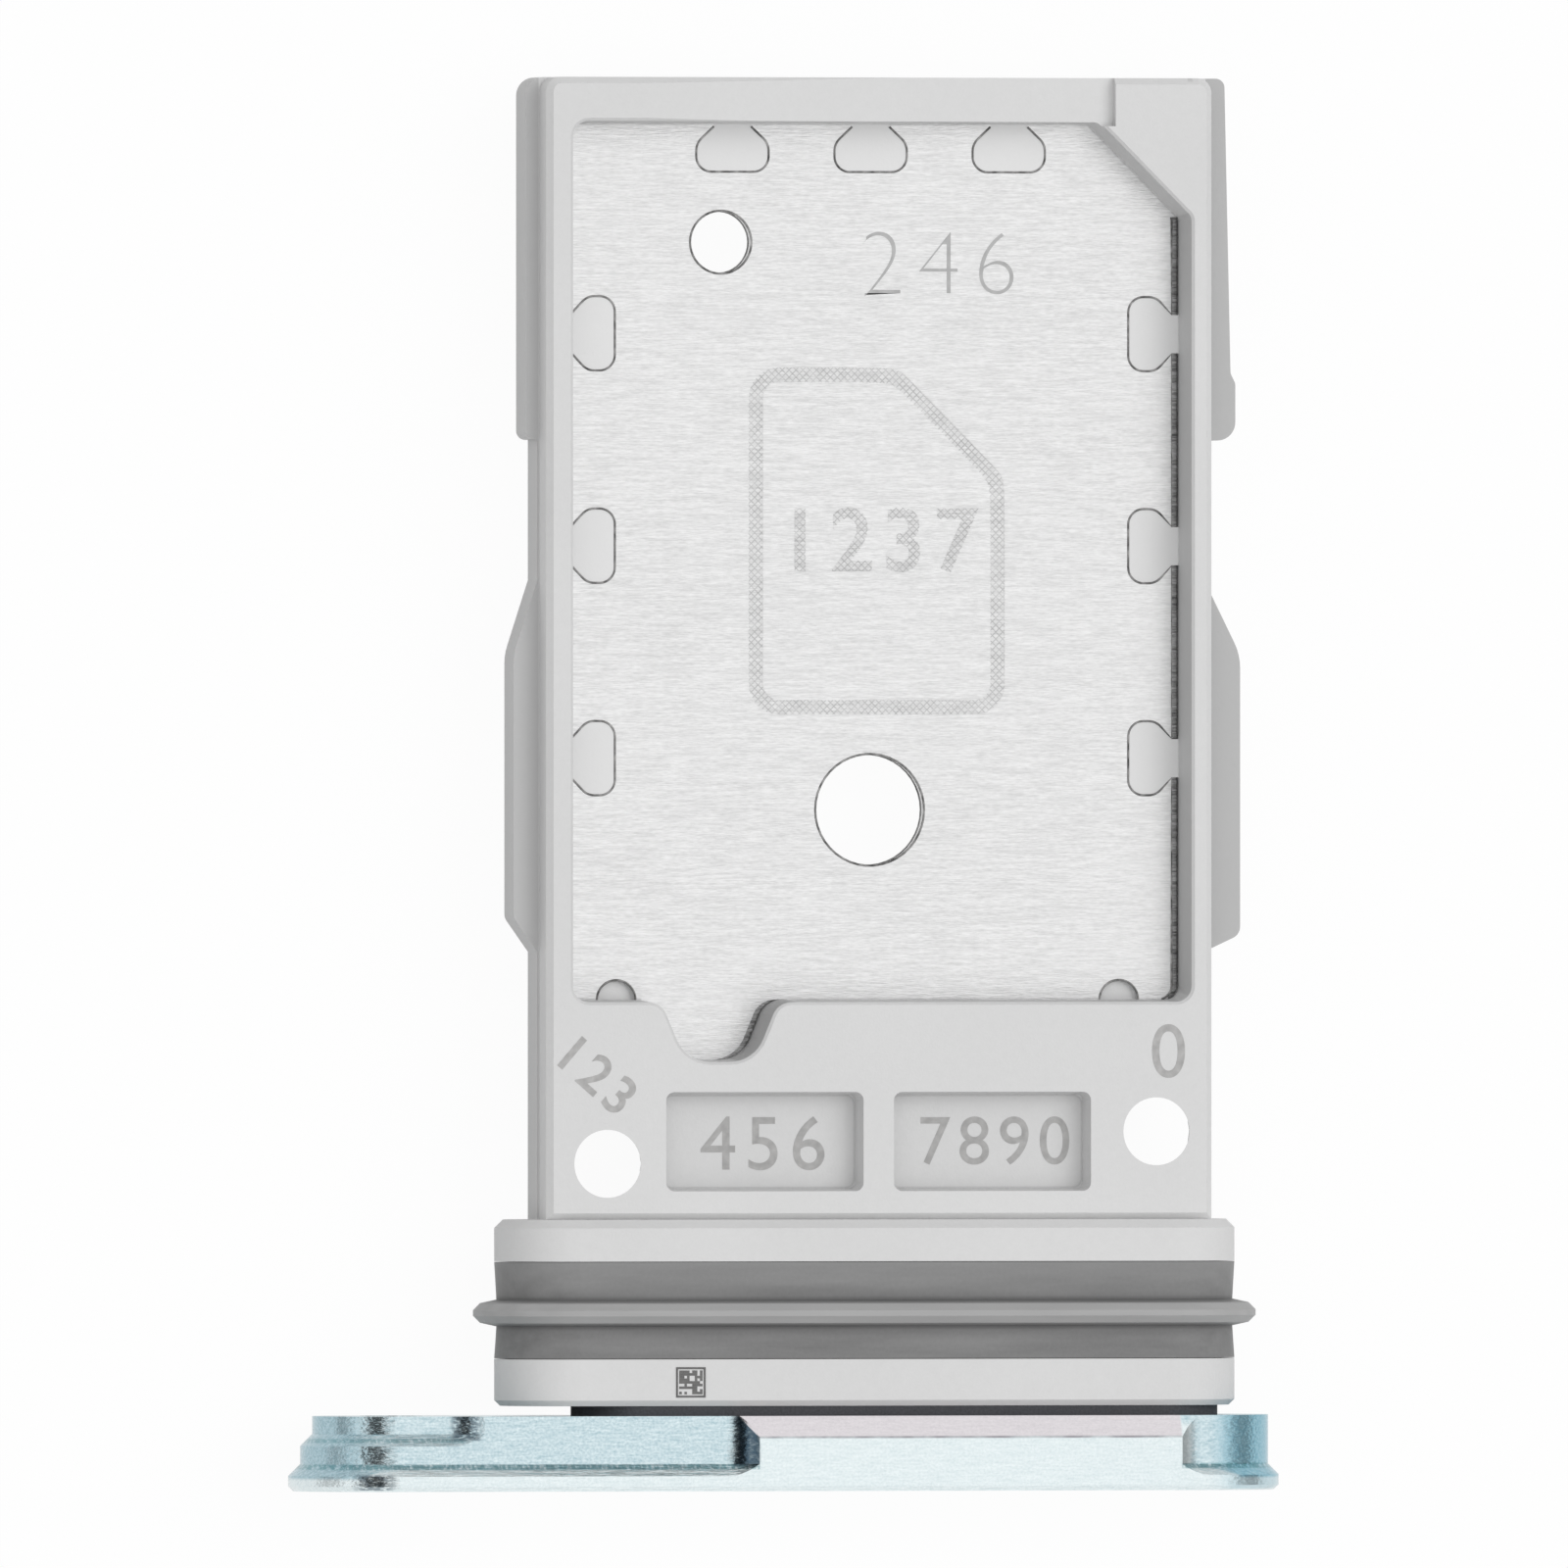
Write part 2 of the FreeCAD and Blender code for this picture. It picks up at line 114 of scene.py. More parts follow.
camera = bpy.data.objects.new("camera", bpy.data.cameras.new("camera"))
bpy.context.scene.collection.objects.link(camera)
bpy.context.scene.camera = camera
camera.data.lens = LENS
width_seen = IMAGE_PIXELS / PIXELS_PER_MM * MM
distance = width_seen * LENS / camera.data.sensor_width
target = Vector((0.0, 0.0, middle_z))
right = Vector((math.cos(VIEW_TILT), 0, math.sin(VIEW_TILT)))
upward = Vector((0, 1, 0))
backward = right.cross(upward)
camera.matrix_world = Matrix.Translation(target + backward * distance) @ Matrix(
    (right, upward, backward)).transposed().to_4x4()
camera.data.clip_start = distance / 10
camera.data.clip_end = distance * 3
print("camera distance, m:", round(distance, 3))

# %% [markdown]
# ## Writing shader maths as Python
#
# A finish is a formula: where the surface is, which groove or mark lies there, how rough
# it is. Such a formula can be clicked together from dozens of Math nodes, which nobody can
# read afterwards. Here a small class wraps a socket, and its operators add the nodes, so
# the formula stays a line of Python. Most finishes need masks, which are 1 on one part of
# the surface and 0 elsewhere, so the class can say below, above and near.

# %% A value that adds nodes
SHARP = 0.01


class Value:
    """A shader socket that Python's operators work on."""

    def __init__(self, tree, socket):
        self.tree = tree
        self.socket = socket

    def node(self, kind, settings=None, inputs=None, output=0):
        """Add a node: its settings come first, then the values or links of its sockets."""
        made = self.tree.nodes.new(kind)
        for name, setting in (settings or {}).items():
            setattr(made, name, setting)
        for name, value in (inputs or {}).items():
            if isinstance(value, Value):
                self.tree.links.new(value.socket, made.inputs[name])
            else:
                made.inputs[name].default_value = value
        return Value(self.tree, made.outputs[output])

    def math(self, operation, *terms):
        """Add a Math node with its terms in their order."""
        return self.node("ShaderNodeMath", {"operation": operation}, dict(enumerate(terms)))

    def __add__(self, other):
        return self.math("ADD", self, other)

    def __radd__(self, other):
        return self.math("ADD", other, self)

    def __sub__(self, other):
        return self.math("SUBTRACT", self, other)

    def __rsub__(self, other):
        return self.math("SUBTRACT", other, self)

    def __mul__(self, other):
        return self.math("MULTIPLY", self, other)

    def __rmul__(self, other):
        return self.math("MULTIPLY", other, self)

    def __abs__(self):
        return self.math("ABSOLUTE", self)

    def sine(self):
        return self.math("SINE", self)

    def least(self, other):
        return self.math("MINIMUM", self, other)

    def most(self, other):
        return self.math("MAXIMUM", self, other)

    def clamped(self):
        """The value held between 0 and 1."""
        return self.most(0.0).least(1.0)

    def hypot(self, other):
        """The length of the vector (self, other)."""
        return self.math("SQRT", self * self + other * other)

    def below(self, limit, soft=SHARP):
        """1 where the value is under limit and 0 over it, with a soft step."""
        return self.node("ShaderNodeMapRange", {"interpolation_type": "SMOOTHSTEP"},
                         {0: self, 1: limit - soft, 2: limit + soft, 3: 1.0, 4: 0.0})

    def above(self, limit, soft=SHARP):
        """1 where the value is over limit and 0 under it, with a soft step."""
        return 1 - self.below(limit, soft)

    def near(self, middle, half, soft=SHARP):
        """1 where the value is less than half away from middle, and 0 elsewhere."""
        return abs(self - middle).below(half, soft)


# %% [markdown]
# The same few steps start every material, so they are functions: one starts a material,
# one gives the place on the object in millimetres, one stretches a noise, and one mixes
# colours. Places come from Object coordinates, because each piece lies at the origin with
# its place in its mesh, and a pattern then stays put in every view.

# %% Steps that every material shares
def start_material(name, **sockets):
    """A material with uniform values on its shader, and the place on the object in mm."""
    material = bpy.data.materials.new(name)
    material.use_nodes = True
    tree = material.node_tree
    shader = tree.nodes["Principled BSDF"]
    for socket, value in sockets.items():
        shader.inputs[socket.replace("_", " ")].default_value = value
    coordinates = tree.nodes.new("ShaderNodeTexCoord")
    place = Value(tree, coordinates.outputs["Object"])
    place_mm = place.node("ShaderNodeVectorMath", {"operation": "SCALE"}, {0: place, 3: 1 / MM})
    return material, shader, place_mm


def axes(place_mm):
    """The x, y and z of a place, each as a value."""
    return [place_mm.node("ShaderNodeSeparateXYZ", None, {0: place_mm}, axis) for axis in range(3)]


def noise(place_mm, stretch, detail=3.0, seed=0.0):
    """A noise from 0 to 1 whose grain is finer along an axis with a larger stretch."""
    stretched = place_mm.node("ShaderNodeVectorMath", {"operation": "MULTIPLY"},
                              {0: place_mm, 1: stretch})
    return place_mm.node("ShaderNodeTexNoise", {"noise_dimensions": "4D"},
                         {"Vector": stretched, "W": seed, "Scale": 1.0, "Detail": detail})


def even_noise(place_mm, fineness, detail=3.0, seed=0.0):
    """A noise whose grain is as fine along every axis."""
    return noise(place_mm, (fineness, fineness, fineness), detail, seed)


def mix(factor, first, second):
    """A colour that goes from first to second as factor goes from 0 to 1."""
    return factor.node("ShaderNodeMix", {"data_type": "RGBA"}, {0: factor, 6: first, 7: second}, 2)


def grey(level, warm=0.0):
    """A grey as a colour, a trace warmer for a positive warm."""
    return (level * (1 + warm), level, level * (1 - warm), 1.0)


def feed(shader, socket, value):
    """Link a value to a socket of the shader."""
    value.tree.links.new(value.socket, shader.inputs[socket])


def bump(height, distance_mm, strength=1.0):
    """A normal from a height of 0 to 1 that stands for distance_mm."""
    return height.node("ShaderNodeBump", None,
                       {"Strength": strength, "Distance": distance_mm * MM, "Height": height})


# %% [markdown]
# ## Marks as distances
#
# The etched outline and the edges of the windows are flat lines. They could be cut as thin
# meshes, but a laser mark has no edge to catch the light. A formula for the distance to
# the figure does it: the line is where that distance is under half the line's width.

# %% Distances to simple figures
def to_box(x, y, middle, half, radius=0.0):
    """The distance from (x, y) to a rectangle with round corners, less than 0 inside it."""
    over_x = abs(x - middle[0]) - (half[0] - radius)
    over_y = abs(y - middle[1]) - (half[1] - radius)
    outside = over_x.most(0.0).hypot(over_y.most(0.0))
    return outside + over_x.most(over_y).least(0.0) - radius


def to_card(x, y, middle, half, radius, cut, blend=0.0):
    """The distance to a rectangle with its upper right corner cut off, less than 0 inside it.

    The cut's two corners are rounder for a larger blend.
    """
    body = to_box(x, y, middle, half, radius)
    past_middle = (x - middle[0]) + (y - middle[1])
    corner = (past_middle - (half[0] + half[1] - cut)) * math.sqrt(0.5)
    return (body + corner + (body - corner).hypot(blend)) * 0.5


def mark(distance_value, soft=0.012):
    """1 on the mark and 0 off it."""
    return distance_value.below(0.0, soft)


# %% [markdown]
# ## The moulded carrier
#
# The carrier is a glass-filled nylon in light grey, moulded in a spark-eroded tool, so it
# has a fine even grain and no gloss. A single grey would look like card. The grain goes
# into the bump and a slow cloudiness into the colour. The rails, which the tool maker
# polishes so that the tray slides, are smoother, and are painted a darker grey that is
# partly their polish and partly painted shade. The plastic in the keyholes gets painted
# light, as if lit by the steel round it, and is the lightest of all. The right walls of
# pocket and notch get painted shade. First come the masks that say where each of these
# surfaces is.

# %% Where the rails, windows and walls are
COLLAR_BELOW_POCKET = 3.10
RAIL_TOP = 0.33
LEFT_RAIL_OUT = 0.42
RIGHT_RAIL_OUT = 0.345
collar_y = BOTTOM - COLLAR_BELOW_POCKET

WINDOW_LENGTH = 2.86
WINDOW_WIDTH = 1.40
WINDOW_GAP = 0.44
WINDOW_DEPTH = 0.38
WINDOW_CORNER = 0.12
WINDOW_FROM_LEFT = 1.31
WINDOW_FROM_COLLAR = 0.40
SHADE_INSET = 0.05
window_y = collar_y + WINDOW_FROM_COLLAR + WINDOW_WIDTH / 2
window_xs = [
    LEFT + WINDOW_FROM_LEFT + WINDOW_LENGTH / 2 + i * (WINDOW_LENGTH + WINDOW_GAP)
    for i in range(2)
]
print("middles of the windows, mm:", [round(x, 2) for x in window_xs], round(window_y, 2))


def rail_masks(x, y, z):
    """1 on the left rail and ledge, and 1 on the right one."""
    high = z.below(MIDDLE + RAIL_TOP) * y.above(collar_y + 0.02)
    return x.below(LEFT - LEFT_RAIL_OUT) * high, x.above(RIGHT + RIGHT_RAIL_OUT) * high


def window_shade_masks(x, y, z):
    """1 on the windows' floors, and 1 on a line near their walls, both for painted shade."""
    half = (WINDOW_LENGTH / 2 - SHADE_INSET, WINDOW_WIDTH / 2 - SHADE_INSET)
    first, second = (to_box(x, y, (middle, window_y), half, WINDOW_CORNER) for middle in window_xs)
    to_window = first.least(second)
    sunk = z.below(RIM - 0.03, 0.02) * z.above(RIM - 0.45, 0.02)
    return mark(to_window) * sunk, mark(abs(to_window) - 0.010, 0.014) * sunk


def painted_wall_shade(x, y, z):
    """How much painted shade the right walls of pocket and notch get, as they face away from the
    key light.
    """
    high = z.below(RIM - 0.04) * z.above(FACE + 0.01, 0.005)
    pocket_wall = x.above(RIGHT - 0.02) * x.below(RIGHT + 0.05) * y.above(BOTTOM)
    notch_wall = x.near(LEFT + 2.78, 0.42, 0.02) * y.near(BOTTOM - 0.40, 0.50)
    return high * (pocket_wall * 0.40).most(notch_wall * 0.85)


def painted_light_on_keys(x, y, z):
    """1 on the plastic that lies in the plate, which gets painted light."""
    across = x.above(LEFT + 0.01) * x.below(RIGHT - 0.01)
    ahead = y.above(BOTTOM - 0.02) * y.below(TOP - 0.01)
    return across * ahead * z.below(FACE + 0.02, 0.005)


# %% [markdown]
# One plastic wears all of these masks. It could be a material of its own for each surface,
# but the grain and the clouds have to run on from one surface to the next without a seam.

# %% Grey moulded plastic
# A darker grey for the rails, partly painted shade, and for the painted shade on the right walls.
RAIL_AND_SHADE_GREY = grey(0.42)
# The grey of the painted shade in the windows.
RECESS_SHADE_GREY = grey(0.25)


def grey_plastic():
    """The carrier's plastic: grained, darker rails that are partly painted shade, painted light on
    the keys, and painted shade on the right walls and in the windows.
    """
    material, shader, place = start_material("grey_moulded_plastic", Roughness=0.5, IOR=1.5)
    x, y, z = axes(place)
    cloud = even_noise(place, 0.35, 4.0)
    grain = even_noise(place, 26, 2.0, seed=3.0)
    speck = even_noise(place, 9, 2.0, seed=8.0)
    left_rail, right_rail = rail_masks(x, y, z)
    shaded_window_floors, window_foot_shade = window_shade_masks(x, y, z)
    light = mix(cloud, grey(0.65), grey(0.715))
    dark = mix(cloud, grey(0.58), grey(0.64))
    colour = mix(grain * 0.5 + speck * 0.5, dark, light)
    # The rails are painted darker, partly for their polish and partly as painted shade, more on
    # the right rail than on the left.
    colour = mix(left_rail * 0.62 + right_rail * 0.85, colour, RAIL_AND_SHADE_GREY)
    # Painted light: the plastic in the keyholes is painted lighter, as if lit by the steel round
    # it.
    colour = mix(painted_light_on_keys(x, y, z), colour, mix(cloud, grey(0.69), grey(0.75)))
    # Painted shade on the right walls of the pocket and the notch.
    colour = mix(painted_wall_shade(x, y, z), colour, RAIL_AND_SHADE_GREY)
    # Painted shade: the windows' floors a little darker, and a darker line near their walls.
    colour = mix(shaded_window_floors * 0.12, colour, RECESS_SHADE_GREY)
    colour = mix(window_foot_shade * 0.35, colour, RECESS_SHADE_GREY)
    feed(shader, "Base Color", colour)
    feed(shader, "Roughness", 0.52 - (left_rail + right_rail) * 0.10 + grain * 0.08)
    feed(shader, "Normal", bump(grain + speck * 0.5, 0.004, 0.6))
    return material


# %% [markdown]
# ## The steel plate
#
# The plate is stainless strip, brushed along its width and then punched. Its grain is many
# short scratches: a noise stretched far along x, with a finer one over it. It could be a
# single grey with an anisotropic shader, but then no scratch would show from near by.

# %% Brushed grain
GRAIN_CONTRAST = 4.2


def grain_of_steel(place):
    """The brushed grain from 0 to 1: short scratches along x, with finer ones over them."""
    scratches = noise(place, (2.6, 34, 34), 4.0)
    fine = noise(place, (9, 70, 70), 3.0, seed=5.0)
    return ((scratches * 0.5 + fine * 0.5 - 0.5) * GRAIN_CONTRAST + 0.5).clamped()


def steel_tone(brushed):
    """The colour of the bare steel between and on its scratches."""
    return mix(brushed, grey(0.69), grey(1.0))


# %% [markdown]
# A laser has etched the outline of a card on the plate in crossed hatching, a little
# uneven, with the number of the slot in it. Where two lines of the hatching cross, the
# steel is burnt darkest, so the tone falls off steeply from each line. The outline has one
# cut corner, as the pocket has, so both come from the same formula.

# %% The etched card and the pocket's foot
CARD_LEFT = 2.769
CARD_TOP = 3.545
CARD_WIDTH = 3.51
CARD_HEIGHT = 4.70
CARD_CORNER = 0.34
CARD_CUT = 1.48
CARD_BLEND = 0.08
LINE_WIDTH = 0.205
HATCH_PITCH = 0.10
LASER_GREY = grey(0.36)

POCKET_CORNER = 0.12
POCKET_CUT = 1.32
FOOT_HALF_WIDTH = 0.010
NOTCH_MIDDLE = 2.095
NOTCH_HALF = 0.98

pocket_half = ((RIGHT - LEFT) / 2, (TOP - BOTTOM) / 2)
pocket_middle = (LEFT + pocket_half[0], BOTTOM + pocket_half[1])
card_half = (CARD_WIDTH / 2, CARD_HEIGHT / 2)
card_middle = (LEFT + CARD_LEFT + card_half[0], TOP - CARD_TOP - card_half[1])
print("middle of the etched card, mm:", [round(value, 3) for value in card_middle])


def etched_card(x, y):
    """1 on the etched outline of a card with one cut corner."""
    to_line = to_card(x, y, card_middle, card_half, CARD_CORNER, CARD_CUT, CARD_BLEND)
    return mark(abs(to_line) - LINE_WIDTH / 2)


def joint_and_foot_shade(x, y):
    """1 on the fine line where the pocket's walls stand on the plate, a dark joint that is also
    painted shade at their foot, but not at its notch.
    """
    to_wall = to_card(x, y, pocket_middle, pocket_half, POCKET_CORNER, POCKET_CUT)
    line = mark(abs(to_wall + FOOT_HALF_WIDTH) - FOOT_HALF_WIDTH)
    return line * (1 - x.near(LEFT + NOTCH_MIDDLE, NOTCH_HALF) * y.below(BOTTOM + 0.1))


def hatching(x, y):
    """Crossed fine lines of a laser: 0 on a line and 1 in the middle of a diamond."""
    turn = math.pi / HATCH_PITCH
    one_way = abs(((x + y) * turn).sine())
    other_way = abs(((x - y) * turn).sine())
    return one_way.least(other_way)


def laser_tone(place, x, y):
    """How dark the hatching burns the steel, from 0 to 1, a little uneven."""
    uneven = even_noise(place, 6.0, 2.0, seed=11.0)
    lines = 1 - hatching(x, y)
    crossings = lines * lines
    return (crossings * crossings * (uneven * 1.4)).least(1.0)


# %% [markdown]
# The plate needs three finishes. The first is for the whole plate: its brushed faces, the
# bright walls of its punched holes, and painted shade in the slots at the foot of the right
# walls. The second is for a number that the laser hatched, and the third is painted shade
# for a number that was pressed in, because a narrow groove sees little of the room.

# %% Three finishes of the plate
SLOT_REACH = 0.12


def brushed_steel():
    """The plate: brushed faces with the etched card, bright holes and painted shade in its slots.
    """
    material, shader, place = start_material("brushed_stainless_steel", Metallic=1.0)
    x, y, z = axes(place)
    brushed = grain_of_steel(place)
    slow = noise(place, (0.25, 0.5, 0.5), 2.0, seed=2.0)
    on_face = z.above(FACE - 0.01, 0.004)
    etched = etched_card(x, y) * on_face
    plain = mix(slow * 0.25, steel_tone(brushed), grey(0.96))
    # The line at the walls' foot is a dark joint and painted shade.
    plain = mix(joint_and_foot_shade(x, y) * 0.3, plain, grey(0.22))
    plain = mix(etched * laser_tone(place, x, y), plain, LASER_GREY)
    inside = z.below(FACE - 0.02) * z.above(BACK + 0.02)
    # Painted shade: the walls of the slots at the right walls and below the pocket are painted
    # dark, while the other hole walls stay bright.
    shaded_slots = x.above(RIGHT - SLOT_REACH, 0.005).most(y.below(BOTTOM, 0.005))
    punched = mix(shaded_slots, grey(0.95), mix(brushed, grey(0.18), grey(0.78)))
    feed(shader, "Base Color", mix(inside, plain, punched))
    feed(shader, "Roughness", 0.28 + brushed * 0.10 + etched * 0.12)
    feed(shader, "Normal", bump(brushed - etched * 0.5, 0.004, 0.6))
    return material


def etched_steel():
    """The plate's steel where the laser hatched all of it."""
    material, shader, place = start_material("laser_hatched_steel", Metallic=1.0, Roughness=0.5)
    x, y, _ = axes(place)
    plain = steel_tone(grain_of_steel(place))
    feed(shader, "Base Color", mix(laser_tone(place, x, y), plain, LASER_GREY))
    return material


def pressed_groove_shade():
    """Painted shade for the bottom of a narrow groove in the steel."""
    material, shader, place = start_material("pressed_groove_shade", Metallic=1.0, Roughness=0.35)
    feed(shader, "Base Color", mix(even_noise(place, 8, 2.0), grey(0.38), grey(0.62)))
    return material


# %% [markdown]
# ## Seal, pad and prints
#
# The seal is silicone: no grain, a soft sheen and dust that it attracts. Its lip gets a
# painted highlight and the lip's two roots get painted shade, and the band is painted
# darker next to the lip and paler towards the pocket, as shade. These could be lamps placed
# with care, but a tone that follows y is steadier. The pad is a die cut foam, nearly black.
# The marks on the parts are an ink or a burnt line, so they share one flat grey that is
# thinner in some patches.

# %% Silicone, foam and ink
LIP_OFFSET = 0.04
LIP_HALF = 0.15
ROOT_FROM_LIP = 0.05
lip_y = (seal_low.y + seal_high.y) / 2 / MM - LIP_OFFSET


def silicone():
    """The seal: a hazy dark grey, with a painted highlight on its lip and painted shade round it.
    """
    material, shader, place = start_material("grey_silicone", IOR=1.43)
    _, y, _ = axes(place)
    haze = noise(place, (0.5, 5.0, 5.0), 4.0)
    dust = even_noise(place, 20, 1.0, seed=4.0)
    # Painted shade: the band is darker next to the lip and paler further from it.
    upper = ((y - (lip_y + LIP_HALF)) * 1.6).clamped()
    body = mix(haze * 0.8 + dust * 0.2, grey(0.12), grey(0.27))
    body = mix(upper * 0.30, body, grey(0.36))
    # Painted highlight on the lip.
    lip_highlight = y.near(lip_y, LIP_HALF, 0.03)
    colour = mix(lip_highlight, body, mix(haze, grey(0.32), grey(0.43)))
    # Painted shade at the lip's two roots.
    root = abs(y - lip_y).near(LIP_HALF + ROOT_FROM_LIP, 0.025, 0.025)
    feed(shader, "Base Color", mix(root * 0.5, colour, grey(0.10)))
    feed(shader, "Roughness", 0.42 + haze * 0.2)
    feed(shader, "Normal", bump(dust, 0.002, 0.4))
    return material


def black_foam():
    """The pad: nearly black, with open cells."""
    material, shader, place = start_material("black_foam", IOR=1.45)
    cells = even_noise(place, 30, 2.0)
    feed(shader, "Base Color", mix(cells, (0.027, 0.028, 0.031, 1.0), (0.09, 0.092, 0.102, 1.0)))
    feed(shader, "Roughness", 0.7 + cells * 0.2)
    feed(shader, "Normal", bump(cells, 0.01, 0.8))
    return material


def ink(name, level, patches=0.15):
    """A flat dark finish whose level differs from patch to patch."""
    material, shader, place = start_material(name, Roughness=0.6)
    patchy = ((even_noise(place, 9) - 0.5) * 2.5 + 0.5).clamped()
    thin, thick = grey(level * (1 - patches), 0.01), grey(level * (1 + patches), 0.01)
    feed(shader, "Base Color", mix(patchy, thin, thick))
    feed(shader, "Roughness", 0.55 + patchy * 0.15)
    return material


# %% [markdown]
# ## The door
#
# The door is milled from aluminium, blasted, brushed and anodised in a very pale blue. The
# steps at its ends are cut before the colour and are a deeper blue, with painted shade in
# dashes along their feet. Painted dark reflections lie on the round ends and in the
# run-outs, some of them as spots. The bevel along its inner edge is cut after the colour,
# so the bare metal shows there, a trace pinker than the rest, and it cuts slantwise into
# the run-out of the first step. The shapes come with the frame. Their colours could be
# materials of their own, but many marks cross from one face to the next, so each is a
# mask in one material.

# %% Where the steps, painted dark reflections and bevel are
DOOR_FRONT = door_low.y / MM
DOOR_DEPTH = 1.06
STEPS_BELOW = 0.09
FLANGE = 0.18
FIRST_FOOT = 0.345
SECOND_FOOT = 0.715
FIRST_RUN_OUT = -0.83
FIRST_RUN_OUT_START = -0.93
SECOND_RUN_OUT = -4.84
ROUND_END = -6.20
BEVEL_LEFT = -0.65
BEVEL_RIGHT = 5.48
BEVEL_WIDTH = 0.30
RUN_OUT_SLANT = 0.92
PIN_HOLE_BAND = 0.70


def on_the_steps(y, z):
    """1 on the steps of both faces, and on the slopes before them."""
    step_z = door_high.z / MM - STEPS_BELOW
    height = z.below(step_z, 0.02) * z.above(MIDDLE * 2 - step_z, 0.02)
    return height * y.above(DOOR_FRONT + FLANGE, 0.03)


def painted_reflection_spots(place, x, from_front, off_middle):
    """1 on spots of painted dark reflection at both run-outs and on the flange's round end."""
    reflection_spots = noise(place, (10, 26, 26), 2.0, seed=12.0).below(0.56, 0.10)
    first = x.near(FIRST_RUN_OUT, 0.17, 0.05) * from_front.above(FIRST_FOOT, 0.02)
    second = x.near(SECOND_RUN_OUT, 0.19, 0.06) * from_front.above(SECOND_FOOT, 0.02)
    on_flange = from_front.below(0.24, 0.02) * from_front.above(0.02)
    round_end = x.near(ROUND_END, 0.24, 0.12) * on_flange
    return (first + second + round_end) * reflection_spots * off_middle


def bevel_masks(x, up_bevel, from_front, off_middle):
    """1 on the bare bevel, and 1 on the run-out that it cuts into, which gets a painted dark
    reflection.
    """
    past_run_out = (x + up_bevel * RUN_OUT_SLANT).above(BEVEL_LEFT, 0.012)
    bare = past_run_out * x.below(BEVEL_RIGHT, 0.02) * up_bevel.above(0.01, 0.012)
    run_out = x.above(FIRST_RUN_OUT_START, 0.04) * x.below(BEVEL_LEFT) * (1 - bare)
    return bare, run_out * from_front.above(FIRST_FOOT + 0.03, 0.02) * off_middle


def foot_shade_dashes(place, x, from_front, off_bevel):
    """1 on painted shade in dashes along the feet of the steps."""
    dashes = noise(place, (22, 9, 9), 2.0, seed=9.0).below(0.56, 0.10)
    first = from_front.near(FIRST_FOOT, 0.036, 0.014) * off_bevel
    second = from_front.near(SECOND_FOOT, 0.028, 0.012) * x.below(SECOND_RUN_OUT - 0.01, 0.05)
    return (first + second * 0.8) * dashes


# %% [markdown]
# The colours go on from the largest surface to the smallest mark, so that each covers the
# one before. The bump is weak along the bevel and on the front, and stronger at the ends,
# where it breaks up the reflections as the cutter's lines do.

# %% Pale blue anodised aluminium
FACE_BLUES = (0.68, 0.78, 0.80, 1), (0.90, 0.97, 0.98, 1)
STEP_BLUES = (0.38, 0.54, 0.60, 1), (0.82, 0.93, 0.955, 1)
LEFT_END_REFLECTION_BLUES = (0.20, 0.37, 0.44, 1), (0.42, 0.60, 0.68, 1)
RIGHT_END_REFLECTION_BLUES = (0.20, 0.46, 0.58, 1), (0.30, 0.56, 0.67, 1)
FLANGE_END_REFLECTION_BLUE = (0.38, 0.62, 0.72, 1)
BARE_METALS = (0.66, 0.63, 0.655, 1), (0.79, 0.755, 0.78, 1)
FOOT_SHADE_TEAL = (0.07, 0.26, 0.29, 1)
RUN_OUT_REFLECTION_DARK = (0.07, 0.12, 0.16, 1)
SPOT_REFLECTION_DARK = (0.06, 0.10, 0.14, 1)
BURR_DARK = (0.22, 0.19, 0.22, 1)
LEFT_END = -6.30
RIGHT_END = 6.10


